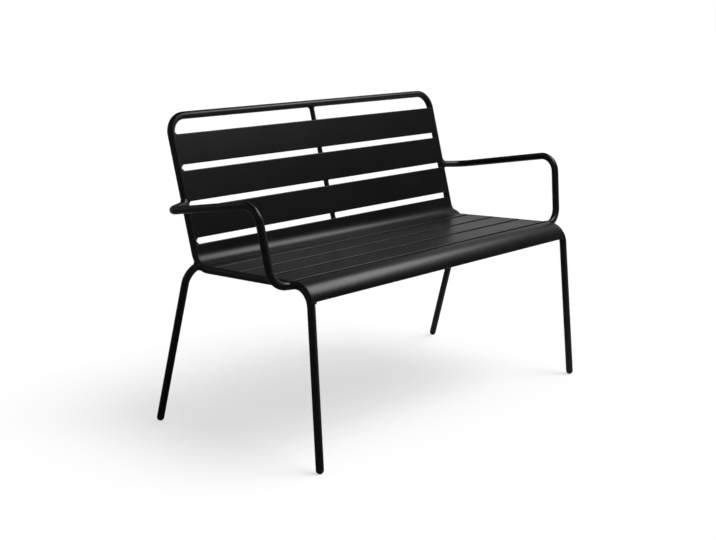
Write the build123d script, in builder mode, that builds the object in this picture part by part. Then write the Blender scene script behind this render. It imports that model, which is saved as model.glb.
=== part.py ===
from build123d import *
from math import cos, radians, sin, tan
import os

# Two-seat metal garden bench: bent round tube, folded sheet slats, welded joints.
# Millimetres. +X is to the viewer's right, the front faces -Y, +Z is up.
# The origin is on the floor, in the middle of the feet.

# Tube and bends: one bending die shapes every tube
tube_diameter = 20.0
tube_wall = 1.5
bend_radius = 48.0

# Frame corners, where the straight axes would meet without their bends.
# Feet are measured at the centres of their domes, outward from the rail axis.
rail_spacing = 1000.0
front_foot_splay = 12.5
knee_setback = 29.5
knee_height = 448.0
seat_depth = 427.5
hip_height = 431.5
back_recline = 98.5
back_rise = 384.5

# Rear legs: the feet, and the corner beside the seat-to-back bend
rear_foot_kick = 128.0
rear_foot_splay = 57.0
rear_leg_offset = 41.5
rear_leg_drop = 11.0

# Armrests: offsets are outward from the rail axis, setbacks rearward from the front foot,
# and the rear corner is ahead of the joint on the upright and a little below it
arm_seat_setback = 90.5
arm_foot_offset = 60.5
arm_foot_setback = 93.0
arm_front_offset = 79.0
arm_front_setback = 117.5
arm_front_height = 644.0
arm_rear_offset = 72.0
arm_rear_lead = 31.0
arm_rear_drop = 4.0
arm_joint_height = 594.0

# Sheet slats and panels, their faces a little below the crest of the tubes
sheet_thickness = 1.5
face_lift = 9.5
fold_radius = 2.5
fold_depth = 4.5
back_top_gap = 48.0
back_gap = 16.0
lip_run = 6.0
seat_gap = 12.0
slat_count = 3
cove_run = 29.5
cove_rise = 22.5
lip_wrap = 74.0

# Centre rod behind and under the slats
rod_diameter = 14.0
rod_top_gap = 2.0

# Foot glides: a domed head as wide as the tube, on a ribbed stem
glide_rim = 3.0
glide_flat = 0.5
glide_stem_length = 22.0
glide_rib_depth = 2.0
glide_rib_count = 4
glide_fit = 0.1

# Weld fillets, and the fit-up gap that they close at a cut tube or sheet end
cope_gap = 0.1
weld_leg = 4.0
weld_side = 0.8
weld_toe = 0.4
gap_weld_leg = 4.5
slot_weld_leg = 2.5
tack_leg = 2.0
tack_turn = 70.0

rib_gap_share = 1 / 3
quarter_turn = 90.0

tube_radius = tube_diameter / 2
bore_radius = tube_radius - tube_wall
rod_radius = rod_diameter / 2
half_sheet = sheet_thickness / 2
fold_end_lift = face_lift - fold_depth
rod_lift = fold_end_lift - rod_radius
foot_depth = knee_setback + seat_depth + rear_foot_kick
front_y = -foot_depth / 2

dome_height = tube_radius - glide_flat

front_foot = Vector(rail_spacing / 2 + front_foot_splay, front_y, dome_height)
knee = Vector(rail_spacing / 2, front_y + knee_setback, knee_height)
hip = Vector(rail_spacing / 2, knee.Y + seat_depth, hip_height)
crown = hip + Vector(0, back_recline, back_rise)
rear_foot = Vector(rail_spacing / 2 + rear_foot_splay, foot_depth / 2, dome_height)

# Side profile in the middle plane: local x runs along the axis, local y lifts off it.
# On the seat x runs rearward from the knee; on the back x runs up from the hip.
seat_length = (hip - knee).length
back_length = (crown - hip).length
seat_line = Plane(Vector(0, knee.Y, knee.Z), x_dir=hip - knee, z_dir=(1, 0, 0))
back_line = Plane(Vector(0, hip.Y, hip.Z), x_dir=crown - hip, z_dir=(1, 0, 0))

os.makedirs("parts", exist_ok=True)


def save(part, name):
    """Label a finished piece and write it under the same name."""
    part.label = name
    export_step(part, f"parts/{name}.step")


def save_pair(left_part, name):
    """Write a left piece and its mirror image on the right."""
    save(left_part, f"{name}_left")
    save(mirror(left_part, about=Plane.YZ), f"{name}_right")


def mirrored(points):
    """The same points on the other side of the bench."""
    return [Vector(-point.X, point.Y, point.Z) for point in points]


def turn_at(start, corner, end):
    """Angle in degrees by which a path turns at its corner."""
    return (corner - start).get_angle(end - corner)


def tangent_length(turn):
    """Distance along either side from a corner to its bend."""
    return bend_radius * tan(radians(turn) / 2)


def leg_end(foot, corner):
    """Where a leg tube stops, at the top of its glide's rim."""
    return foot + (corner - foot).normalized() * glide_rim


def swept_round(points, radius, bore=0):
    """Round bar or tube along the points, bent at each inner one."""
    with BuildPart() as tube:
        with BuildLine() as axis:
            FilletPolyline(*points, radius=bend_radius)
        with BuildSketch(Plane(axis.line @ 0, z_dir=axis.line % 0)):
            Circle(radius)
            if bore:
                Circle(bore, mode=Mode.SUBTRACT)
        sweep()
    return tube.part


# Frame tube: both front legs, seat rails, uprights and the top rail in one length
right_side = [leg_end(front_foot, knee), knee, hip, crown]
frame_points = right_side + mirrored(reversed(right_side))
frame_envelope = swept_round(frame_points, tube_radius)
cope_envelope = swept_round(frame_points, tube_radius + cope_gap)
save(swept_round(frame_points, tube_radius, bore_radius), "frame_tube")


def coped_tube(points):
    """Hollow tube on the left side, its ends cut to sit on the frame tube."""
    with BuildPart() as tube:
        add(swept_round(mirrored(points), tube_radius, bore_radius))
        add(cope_envelope, mode=Mode.SUBTRACT)
    return tube.part


# Rear legs: welded to the outside of the seat-to-back bends
seat_way = (hip - knee).normalized()
back_way = (crown - hip).normalized()
hip_turn = turn_at(knee, hip, crown)
hip_bulge = bend_radius * (1 / cos(radians(hip_turn) / 2) - 1)
leg_joint = hip + (back_way - seat_way).normalized() * hip_bulge
leg_corner = leg_joint + Vector(rear_leg_offset, 0, -rear_leg_drop)
rear_leg_points = [leg_end(rear_foot, leg_corner), leg_corner, leg_joint]
save_pair(coped_tube(rear_leg_points), "rear_leg")

# Armrests: up from the seat rail, back along the side, in to the upright
arm_start = knee + (hip - knee) * ((arm_seat_setback - knee_setback) / seat_depth)
arm_end = hip + (crown - hip) * ((arm_joint_height - hip_height) / back_rise)
arm_points = [
    arm_start,
    Vector(knee.X + arm_foot_offset, front_y + arm_foot_setback, arm_start.Z),
    Vector(knee.X + arm_front_offset, front_y + arm_front_setback, arm_front_height),
    arm_end + Vector(arm_rear_offset, -arm_rear_lead, -arm_rear_drop),
    arm_end,
]
save_pair(coped_tube(arm_points), "armrest")


def folded_sheet(line, start, runs):
    """Sheet between the rails that follows the side profile, both edges folded in.

    It starts at a place along the line. Each run is a flat length and then a bend,
    given by the radius of the sheet's middle and the angle of the turn.
    """
    with BuildPart() as sheet:
        with BuildSketch(line.offset(-rail_spacing / 2)):
            with BuildLine():
                edge = start + half_sheet
                step = Line((edge, fold_end_lift), (edge, face_lift - fold_radius))
                step = JernArc(step @ 1, step % 1, fold_radius - half_sheet, -quarter_turn)
                for length, radius, turn in runs:
                    if length:
                        step = Line(step @ 1, step @ 1 + (step % 1) * length)
                    if turn:
                        step = JernArc(step @ 1, step % 1, radius, turn)
                step = JernArc(step @ 1, step % 1, fold_radius - half_sheet, -quarter_turn)
                Line(step @ 1, step @ 1 + (step % 1) * (fold_depth - fold_radius))
            trace(line_width=sheet_thickness)
        extrude(amount=rail_spacing)
        add(cope_envelope, mode=Mode.SUBTRACT)
    return sheet.part


# Back slats, downward from the top rail
hip_tangent = tangent_length(hip_turn)
back_share = (back_length - back_top_gap - hip_tangent - cove_rise) / slat_count
back_slat_width = back_share - back_gap
back_starts = {}
for number, place in enumerate(["upper", "middle", "lower"]):
    top_edge = back_length - back_top_gap - number * (back_slat_width + back_gap)
    back_starts[place] = top_edge - back_slat_width
    flat = [(back_slat_width - 2 * fold_radius, 0, 0)]
    save(folded_sheet(back_line, back_starts[place], flat), f"back_slat_{place}")

# Seat slats, rearward from the slot behind the front panel
knee_turn = turn_at(front_foot, knee, hip)
knee_tangent = tangent_length(knee_turn)
seat_first_slot = knee_tangent + lip_run
seat_share = (seat_length - seat_first_slot - seat_gap - hip_tangent - cove_run) / slat_count
seat_slat_width = seat_share - seat_gap
seat_starts = {}
for number, place in enumerate(["front", "middle", "rear"]):
    seat_starts[place] = seat_first_slot + seat_gap + number * (seat_slat_width + seat_gap)
    flat = [(seat_slat_width - 2 * fold_radius, 0, 0)]
    save(folded_sheet(seat_line, seat_starts[place], flat), f"seat_slat_{place}")

# Panel that carries the seat into the back
cove_start = seat_length - hip_tangent - cove_run
cove_end = hip_tangent + cove_rise
cove_runs = [
    (cove_run - fold_radius, bend_radius - face_lift + half_sheet, hip_turn),
    (cove_rise - fold_radius, 0, 0),
]
save(folded_sheet(seat_line, cove_start, cove_runs), "seat_back_panel")

# Front panel: over the knee bends, down to its lip
wrap = radians(lip_wrap)
lip_place = (knee_tangent - bend_radius * sin(wrap), bend_radius * (cos(wrap) - 1))
lip_way = seat_line.x_dir * cos(wrap) + seat_line.y_dir * sin(wrap)
lip_line = Plane(seat_line.from_local_coords(lip_place), x_dir=lip_way, z_dir=(1, 0, 0))
front_runs = [
    (0, bend_radius + face_lift - half_sheet, -lip_wrap),
    (lip_run - fold_radius, 0, 0),
]
save(folded_sheet(lip_line, -fold_radius, front_runs), "seat_front_panel")


# Centre rod: from the top rail down behind the back and under the seat to the lip
lip_bend = bend_radius + rod_lift
rod_points = [
    lip_line.from_local_coords((-fold_radius, rod_lift)),
    lip_line.from_local_coords((lip_bend * tan(wrap / 2), rod_lift)),
    seat_line.from_local_coords((seat_length - rod_lift * tan(radians(hip_turn) / 2), rod_lift)),
    back_line.from_local_coords((back_length - rod_top_gap, rod_lift)),
]
with BuildPart() as centre_rod:
    with BuildLine() as rod_axis:
        FilletPolyline(*rod_points, radius=[lip_bend, bend_radius - rod_lift])
    with BuildSketch(Plane(rod_axis.line @ 0, z_dir=rod_axis.line % 0)):
        Circle(rod_radius)
    sweep()
    add(cope_envelope, mode=Mode.SUBTRACT)
save(centre_rod.part, "centre_rod")


def glide_pair(foot, corner):
    """Two domed glides with barbed stems, cut flat where they rest on the floor."""
    axis = (corner - foot).normalized()
    side = axis.cross(Vector(0, 1, 0)).normalized()
    rib_pitch = glide_stem_length / glide_rib_count
    rib_radius = bore_radius - glide_fit
    core_radius = rib_radius - glide_rib_depth
    outline = [(tube_radius, 0), (tube_radius, glide_rim), (core_radius, glide_rim)]
    for rib in range(glide_rib_count):
        barb = glide_rim + (rib + rib_gap_share) * rib_pitch
        outline += [(core_radius, barb), (rib_radius, barb)]
        outline += [(core_radius, glide_rim + (rib + 1) * rib_pitch)]
    outline += [(0, glide_rim + glide_stem_length), (0, -tube_radius)]
    with BuildPart() as glides:
        with BuildSketch(Plane(foot, x_dir=side, z_dir=side.cross(axis))):
            with BuildLine():
                Polyline(*outline)
                CenterArc((0, 0), tube_radius, -quarter_turn, quarter_turn)
            make_face()
        revolve(axis=Axis(foot, axis))
        split(bisect_by=Plane.XY, keep=Keep.TOP)
        mirror(about=Plane.YZ)
    return glides.part


save(glide_pair(front_foot, knee), "front_glides")
save(glide_pair(rear_foot, leg_corner), "rear_glides")


def weld_fillet(rail_way, stub, stub_radius):
    """Fillet where a round stub sits on the frame tube, the stub's points given from the joint.

    It is long along the frame tube, where a torch lays it, and thin at its sides.
    """
    joint, corner, beyond = stub
    stub_way = (corner - joint).normalized()
    across = (rail_way - stub_way * rail_way.dot(stub_way)).normalized()
    base = Plane(joint, x_dir=across, z_dir=stub_way)
    stub_envelope = swept_round([joint - stub_way * tube_radius, corner, beyond], stub_radius)
    with BuildPart() as weld:
        with BuildSketch(base):
            Ellipse(stub_radius + tube_radius + weld_leg, stub_radius + weld_side)
        with BuildSketch(base.offset(tube_radius + weld_leg)):
            Circle(stub_radius + weld_toe)
        loft(ruled=True)
        add(frame_envelope, mode=Mode.SUBTRACT)
        add(stub_envelope, mode=Mode.SUBTRACT)
    return weld.part


def save_weld_pair(rail_way, stub, name):
    """Write the same fillet on both sides of the bench as one node."""
    with BuildPart() as welds:
        add(weld_fillet(rail_way, stub, tube_radius))
        mirror(about=Plane.YZ)
    save(welds.part, name)


leg_stub = list(reversed(rear_leg_points))
save_weld_pair((seat_way + back_way).normalized(), leg_stub, "rear_leg_welds")
save_weld_pair(seat_way, arm_points[:3], "arm_front_welds")
save_weld_pair(back_way, list(reversed(arm_points))[:3], "arm_rear_welds")
rod_top = back_line.from_local_coords((back_length, rod_lift))
save(weld_fillet(Vector(1, 0, 0), [rod_top, rod_points[2], rod_points[1]], rod_radius), "rod_weld")

# Weld fillets in the corners between every sheet edge and the rails
sheet_edges = [
    (seat_line, cove_start, -1, slot_weld_leg),
    (back_line, cove_end, 1, gap_weld_leg),
    (lip_line, -fold_radius, -1, gap_weld_leg),
    (seat_line, seat_first_slot, 1, slot_weld_leg),
]
for start in back_starts.values():
    sheet_edges.append((back_line, start, -1, gap_weld_leg))
    sheet_edges.append((back_line, start + back_slat_width, 1, gap_weld_leg))
for start in seat_starts.values():
    sheet_edges.append((seat_line, start, -1, slot_weld_leg))
    sheet_edges.append((seat_line, start + seat_slat_width, 1, slot_weld_leg))
with BuildPart() as panel_welds:
    for line, edge, outward, leg in sheet_edges:
        corner = line.from_local_coords((edge, fold_end_lift)) + Vector(rail_spacing / 2, 0, 0)
        with BuildSketch(Plane(corner, x_dir=(-1, 0, 0), z_dir=line.y_dir * -outward)):
            with BuildLine():
                Polyline((tube_radius, leg), (0, leg), (0, 0), (tube_radius + leg, 0))
                CenterArc((tube_radius + leg, leg), leg, 2 * quarter_turn, quarter_turn)
            make_face()
        extrude(amount=fold_depth - fold_radius, dir=line.y_dir)
    add(frame_envelope, mode=Mode.SUBTRACT)
    mirror(about=Plane.YZ)
save(panel_welds.part, "panel_welds")


# Tack beads on the centre rod where it crosses the folded edges, except at the lip
with BuildPart() as rod_tacks:
    for line, edge, outward, leg in sheet_edges:
        if line is not lip_line:
            rod_centre = line.from_local_coords((edge, rod_lift))
            way = line.x_dir * outward
            first_side = line.y_dir.rotate(Axis(rod_centre, way), -tack_turn / 2)
            with BuildSketch(Plane(rod_centre, x_dir=way, z_dir=way.cross(first_side))):
                with BuildLine():
                    Polyline((0, rod_radius), (tack_leg, rod_radius), (0, rod_radius + tack_leg), close=True)
                make_face()
            revolve(axis=Axis(rod_centre, way), revolution_arc=tack_turn)
save(rod_tacks.part, "rod_tacks")
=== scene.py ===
import math
import bpy
from mathutils import Matrix, Vector

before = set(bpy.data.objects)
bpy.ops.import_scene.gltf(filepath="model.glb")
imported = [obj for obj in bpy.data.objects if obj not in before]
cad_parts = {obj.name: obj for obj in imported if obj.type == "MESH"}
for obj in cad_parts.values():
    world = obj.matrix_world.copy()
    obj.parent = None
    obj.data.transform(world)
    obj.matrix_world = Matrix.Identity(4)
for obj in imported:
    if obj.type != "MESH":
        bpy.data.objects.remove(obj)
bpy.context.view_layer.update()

# Studio: the bench stands on pale seamless paper, seen from its left front corner. A soft box
# hangs over its right front, a bright backdrop stands behind its right side, and three broad
# lights from the front, the right and overhead cast its shadow.
view_point = Vector((-2.1859, -2.1260, 1.0594))
view_yaw, view_pitch, view_roll = math.radians(44.68), math.radians(12.82), math.radians(-1.06)
ahead = Vector((math.sin(view_yaw) * math.cos(view_pitch),
                math.cos(view_yaw) * math.cos(view_pitch), -math.sin(view_pitch)))
level_right = Vector((math.cos(view_yaw), -math.sin(view_yaw), 0))
level_up = level_right.cross(ahead)
view_right = level_right * math.cos(view_roll) + level_up * math.sin(view_roll)
view_up = level_up * math.cos(view_roll) - level_right * math.sin(view_roll)
lens = bpy.data.cameras.new("studio_camera")
lens.sensor_width = 36
lens.lens = 56.14
camera = bpy.data.objects.new("studio_camera", lens)
turn = Matrix((view_right, view_up, -ahead)).transposed()
camera.matrix_world = Matrix.Translation(view_point) @ turn.to_4x4()
bpy.context.scene.collection.objects.link(camera)
bpy.context.scene.camera = camera
bpy.context.scene.view_settings.view_transform = "Standard"


class Value:
    """A number, colour or vector on its way through a finish, held by a node's output."""

    # The Mix node's sockets for its share, its two colours and their blend
    blend_share, blend_first, blend_second, blended = 0, 6, 7, 2

    def __init__(self, finish, socket):
        self.finish = finish
        self.socket = socket

    def maths(self, operation, first, second=0.0):
        return self.finish.node("Math", {"operation": operation}, {0: first, 1: second})

    def __add__(self, other):
        return self.maths("ADD", self, other)

    def __radd__(self, other):
        return self.maths("ADD", other, self)

    def __sub__(self, other):
        return self.maths("SUBTRACT", self, other)

    def __rsub__(self, other):
        return self.maths("SUBTRACT", other, self)

    def __mul__(self, other):
        return self.maths("MULTIPLY", self, other)

    def __rmul__(self, other):
        return self.maths("MULTIPLY", other, self)

    def __abs__(self):
        return self.maths("ABSOLUTE", self)

    def ramp(self, low, high, start=0.0, end=1.0):
        """Eased from start at low to end at high, and level outside them."""
        return self.finish.node("MapRange", {"interpolation_type": "SMOOTHSTEP"}, {
            "Value": self, "From Min": low, "From Max": high, "To Min": start, "To Max": end})

    def blend(self, first, second):
        """The first colour where this is 0, the second where it is 1."""
        return self.finish.node("Mix", {"data_type": "RGBA"}, {
            self.blend_share: self, self.blend_first: first, self.blend_second: second},
            self.blended)


class Finish:
    """The nodes of one coating, moulding, floor or sky."""

    def __init__(self, owner):
        owner.use_nodes = True
        self.tree = owner.node_tree
        self.tree.nodes.clear()

    def node(self, kind, settings=None, inputs=None, output=0):
        """Add a node, set it up, link or fill its inputs and give the output asked for."""
        made = self.tree.nodes.new("ShaderNode" + kind)
        for name, value in (settings or {}).items():
            setattr(made, name, value)
        for name, value in (inputs or {}).items():
            if isinstance(value, Value):
                self.tree.links.new(value.socket, made.inputs[name])
            else:
                made.inputs[name].default_value = value
        return Value(self, made.outputs[output]) if made.outputs else None

    def noise(self, place, grain):
        """Noise of a grain: how many features a metre, and how many finer layers on them."""
        scale, detail = grain
        return self.node("TexNoise", None, {"Vector": place, "Scale": scale, "Detail": detail})

    def toward(self, vector, bearing):
        """How far a vector reaches along a level bearing."""
        along = (math.sin(bearing), math.cos(bearing), 0)
        return self.node("VectorMath", {"operation": "DOT_PRODUCT"}, {0: vector, 1: along},
                         "Value")


def grey(level):
    return (level, level, level, 1)


white = grey(1)

# Room: dim and grey, with three brighter patches that show only in the coat. Each fades in
# between two cosines of the angle from its bearing, up to its own strength. Far_dark is how
# much darker the whole room looks in the coat than the light that it gives.
backdrop_bearing, left_rear_bearing = view_yaw + math.radians(34), math.radians(320)
backdrop_edge, backdrop_core, backdrop_light = 0.72, 0.84, 0.46
near_edge, near_core, near_light = 0.10, 0.70, 0.09
left_rear_edge, left_rear_core, left_rear_light = 0.30, 0.80, 0.16
room_light, far_dark = 0.12, 0.12
sky = bpy.data.worlds.new("studio_sky")
bpy.context.scene.world = sky
air = Finish(sky)
direction = air.node("TexCoord", None, None, "Generated")
seen = air.node("LightPath", None, None, "Is Camera Ray")
mirrored = air.node("LightPath", None, None, "Is Glossy Ray")
backdrop = air.toward(direction, backdrop_bearing).ramp(
    backdrop_edge, backdrop_core, 0.0, backdrop_light)
near_side = air.toward(direction, view_yaw + math.pi).ramp(near_edge, near_core, 0.0, near_light)
left_rear = air.toward(direction, left_rear_bearing).ramp(
    left_rear_edge, left_rear_core, 0.0, left_rear_light)
patches = backdrop + near_side + left_rear
strength = seen + (1 - seen) * (room_light + mirrored * (patches - far_dark))
background = air.node("Background", None, {"Color": white, "Strength": strength})
air.node("OutputWorld", None, {"Surface": background})

# Paper: it takes the bench's shadow, and glows where the camera sees it, so that it is white.
# Its colour in the coat is a painted reflection: darker on the viewer's side than near the
# backdrop.
floor_reach = 40
paper_seen, paper_glow = grey(0.45), 0.60
paper_bounce = grey(0.12)
paper_dark_end, paper_light_end = grey(0.08), grey(0.35)
dark_end, light_end = -0.8, 0.4
floor_mesh = bpy.data.meshes.new("studio_floor")
floor_mesh.from_pydata(
    [(-floor_reach, -floor_reach, 0), (floor_reach, -floor_reach, 0),
     (floor_reach, floor_reach, 0), (-floor_reach, floor_reach, 0)], [], [(0, 1, 2, 3)])
floor = bpy.data.objects.new("studio_floor", floor_mesh)
bpy.context.scene.collection.objects.link(floor)
paper = bpy.data.materials.new("seamless_paper")
sheet = Finish(paper)
seen = sheet.node("LightPath", None, None, "Is Camera Ray")
mirrored = sheet.node("LightPath", None, None, "Is Glossy Ray")
spot = sheet.node("TexCoord", None, None, "Object")
# Painted reflection: the paper's colour in the coat, darker on the viewer's side than near the
# backdrop.
in_coat = sheet.toward(spot, backdrop_bearing).ramp(dark_end, light_end).blend(
    paper_dark_end, paper_light_end)
pale = mirrored.blend(paper_bounce, in_coat)
lit = sheet.node("BsdfDiffuse", None, {"Color": seen.blend(pale, paper_seen)})
glow = sheet.node("Emission", None, {"Color": white, "Strength": seen * paper_glow})
both = sheet.node("AddShader", None, {0: lit, 1: glow})
sheet.node("OutputMaterial", None, {"Surface": both})
floor_mesh.materials.append(paper)

# Lamps: a soft box that shows only as a shine on the coat, and three broad lights that leave
# no shine but light the paper and cast the bench's shadow on it.


def hang_lamp(light, place, aim):
    """Hang a light at a place, pointed at its aim."""
    lamp = bpy.data.objects.new(light.name, light)
    lamp.location = place
    lamp.rotation_mode = "QUATERNION"
    lamp.rotation_quaternion = (aim - place).to_track_quat("-Z", "Y")
    bpy.context.scene.collection.objects.link(lamp)
    return lamp


soft_box = bpy.data.lights.new("soft_box", "AREA")
soft_box.shape = "RECTANGLE"
soft_box.size, soft_box.size_y = 1.5, 0.78
soft_box.energy = 18.0
soft_box_place, soft_box_aim = Vector((1.03, -0.67, 2.04)), Vector((0, -0.1, 0.45))
hang_lamp(soft_box, soft_box_place, soft_box_aim).visible_diffuse = False
lamp_distance = 3
for name, bearing, height, spread, power in (
        ("front_light", 150, 59, 36, 1.75),
        ("right_light", 112, 57, 36, 0.80),
        ("overhead_light", 20, 84, 80, 0.40)):
    light = bpy.data.lights.new(name, "SUN")
    light.angle = math.radians(spread)
    light.energy = power
    bearing, height = math.radians(bearing), math.radians(height)
    lamp_place = lamp_distance * Vector((math.sin(bearing) * math.cos(height),
                                         math.cos(bearing) * math.cos(height),
                                         math.sin(height)))
    hang_lamp(light, lamp_place, Vector()).visible_glossy = False

# Frame tube: one 20 mm steel tube, bent cold round a die into both front legs, the seat
# rails, the uprights and the top rail. Like all the steel here it is sprayed with black
# powder and baked, which leaves a satin skin about 0.1 mm thick with a faint orange peel.
coat_black, coat_bloom = (0.0030, 0.0030, 0.0032, 1), (0.0064, 0.0064, 0.0066, 1)
cloud_grain, speck_grain, peel_grain = (9.0, 3.0), (1500.0, 1.0), (400.0, 2.0)
noise_middle = 0.5
bloom_from, bloom_full = 0.40, 0.70
satin, cloud_dulls, speck_dulls, wear_dulls = 0.35, 0.05, 0.04, 0.03
peel_depth = 0.00002
coat_ior = 1.5
drawn_grain, drawn_depth = (60.0, 1.0), 0.00002


def dress(finish, pieces):
    """Give the named pieces their finish."""
    for name in pieces:
        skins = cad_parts[name].data.materials
        skins.clear()
        skins.append(finish)


def powder_coat(title, pieces, steel, bloom_share, dulled=None):
    """Spray the pieces black. Steel gives the height in metres of what shows through the
    coat; dulled, from -1 to 1, is how far weather dulls it or hands and clothes polish it."""
    baked = bpy.data.materials.new(title)
    coat = Finish(baked)
    place = coat.node("TexCoord", None, None, "Object")
    cloud = coat.noise(place, cloud_grain)
    speck = coat.noise(place, speck_grain)
    height = coat.noise(place, peel_grain) * peel_depth + steel(coat, place)
    roughness = (satin + (cloud - noise_middle) * cloud_dulls
                 + (speck - noise_middle) * speck_dulls)
    if dulled:
        roughness = roughness + dulled(coat, place) * wear_dulls
    bloom = cloud.ramp(bloom_from, bloom_full) * bloom_share
    skin = coat.node("Bump", None, {"Height": height, "Distance": 1.0, "Strength": 1.0})
    body = coat.node("BsdfPrincipled", None, {
        "Base Color": bloom.blend(coat_black, coat_bloom), "Roughness": roughness,
        "Normal": skin, "IOR": coat_ior})
    coat.node("OutputMaterial", None, {"Surface": body})
    dress(baked, pieces)


def drawn_steel(coat, place):
    """Shallow waves that drawing leaves on tube and bar."""
    return coat.noise(place, drawn_grain) * drawn_depth


powder_coat("frame_tube_coat", ["frame_tube"], drawn_steel, bloom_share=0.4)

# Rear legs: two more lengths of the same tube, bent once, each coped to sit on the outside
# of the frame's seat-to-back bend and welded there. Rain splashed off the ground dries on
# them and dulls the coat near the floor.
splash_height = 0.12


def splashed(coat, place):
    above_floor = coat.node("SeparateXYZ", None, {0: place}, "Z")
    return above_floor.ramp(0.0, splash_height, 1.0, 0.0)


powder_coat("rear_leg_coat", ["rear_leg_left", "rear_leg_right"],
            drawn_steel, bloom_share=0.6, dulled=splashed)

# Armrests: two lengths of the same tube with three bends each, coped and welded to the seat
# rail and the upright. Forearms polish the long stretch between the bends.
polish_starts, polish_full = 0.55, 0.60


def leant_on(coat, place):
    above_floor = coat.node("SeparateXYZ", None, {0: place}, "Z")
    return above_floor.ramp(polish_starts, polish_full, 0.0, -1.0)


powder_coat("armrest_coat", ["armrest_left", "armrest_right"],
            drawn_steel, bloom_share=0.3, dulled=leant_on)

# Back slats: 1.5 mm steel sheet cut to length between the uprights, its long edges folded
# back on a brake, then welded to the tube. Rolling and folding leave long shallow waves,
# which show only where a face mirrors a light.
waves_per_metre = (2.0, 9.0, 9.0)
wave_grain, wave_depth = (1.0, 1.0), 0.0003


def rolled_sheet(coat, place):
    stretched = coat.node("Mapping", None, {"Vector": place, "Scale": waves_per_metre})
    return coat.noise(stretched, wave_grain) * wave_depth


powder_coat("back_slat_coat", ["back_slat_upper", "back_slat_middle", "back_slat_lower"],
            rolled_sheet, bloom_share=0.3)

# Seat slats: the same sheet, folded the same way and welded between the seat rails, almost
# level with their tops. Clothes polish the coat on the two places, and dust dulls it between
# and beside them.
place_offset = 0.26
polished_within, dull_beyond = 0.08, 0.24
seat_polish, seat_dust = -0.6, 0.4


def sat_on(coat, place):
    from_middle = abs(coat.node("SeparateXYZ", None, {0: place}, "X"))
    from_place = abs(from_middle - place_offset)
    return from_place.ramp(polished_within, dull_beyond, seat_polish, seat_dust)


powder_coat("seat_slat_coat", ["seat_slat_front", "seat_slat_middle", "seat_slat_rear"],
            rolled_sheet, bloom_share=0.6, dulled=sat_on)

# Curved panels: one sheet is rolled through the hollow where the seat meets the back, the
# other over the knee bends and down to the front lip. Both are welded to the rails like the
# slats, and the front one is polished by the backs of knees.
lip_starts, lip_full = -0.20, -0.26
knee_polish = -0.6


def knees_rub(coat, place):
    forward = coat.node("SeparateXYZ", None, {0: place}, "Y")
    return forward.ramp(lip_full, lip_starts, knee_polish, 0.0)


powder_coat("seat_back_panel_coat", ["seat_back_panel"], rolled_sheet, bloom_share=0.6)
powder_coat("seat_front_panel_coat", ["seat_front_panel"],
            rolled_sheet, bloom_share=0.4, dulled=knees_rub)

# Centre rod: a 14 mm solid steel bar, welded under the top rail and bent to the same side
# profile as the sheet. It runs down behind the back and on under the seat to the lip, and
# each folded edge that it crosses is tacked to it.
powder_coat("centre_rod_coat", ["centre_rod"], drawn_steel, bloom_share=0.4)

# Welds: fillets run with a wire torch round the coped tube ends and the rod's end, and where
# each folded edge meets the tube, and short tacks where the rod crosses one. Each is a row of
# overlapping scales about 2 mm long that the coat rounds off but does not hide.
scales_per_metre = 480.0
scale_depth = 0.0002


def torch_scales(coat, place):
    away_from_scale = coat.node("TexVoronoi", {"feature": "SMOOTH_F1"}, {
        "Vector": place, "Scale": scales_per_metre, "Smoothness": 1.0})
    return (1 - away_from_scale) * scale_depth


powder_coat("weld_coat", [
    "rear_leg_welds", "arm_front_welds", "arm_rear_welds", "rod_weld", "panel_welds",
    "rod_tacks"], torch_scales, bloom_share=0.5)

# Glides: moulded black plastic domes on ribbed stems, pushed into the open tube ends. They
# have a matte moulded skin, scuffed grey where they slide on paving.
plastic_black, scuffed_grey = (0.012, 0.012, 0.012, 1), (0.060, 0.058, 0.055, 1)
plastic_matte, scuff_dulls = 0.48, 0.3
spark_grain, spark_depth = (900.0, 3.0), 0.00002
scuff_from, scuff_to = 0.0005, 0.004
scuff_least, scuff_most = 0.35, 0.6
glide_plastic = bpy.data.materials.new("glide_plastic")
mould = Finish(glide_plastic)
place = mould.node("TexCoord", None, None, "Object")
above_floor = mould.node("SeparateXYZ", None, {0: place}, "Z")
spark = mould.noise(place, spark_grain)
scuff = above_floor.ramp(scuff_from, scuff_to, 1.0, 0.0) * spark.ramp(scuff_least, scuff_most)
skin = mould.node("Bump", None, {"Height": spark, "Distance": spark_depth, "Strength": 1.0})
body = mould.node("BsdfPrincipled", None, {
    "Base Color": scuff.blend(plastic_black, scuffed_grey),
    "Roughness": plastic_matte + scuff * scuff_dulls, "Normal": skin})
mould.node("OutputMaterial", None, {"Surface": body})
dress(glide_plastic, ["front_glides", "rear_glides"])
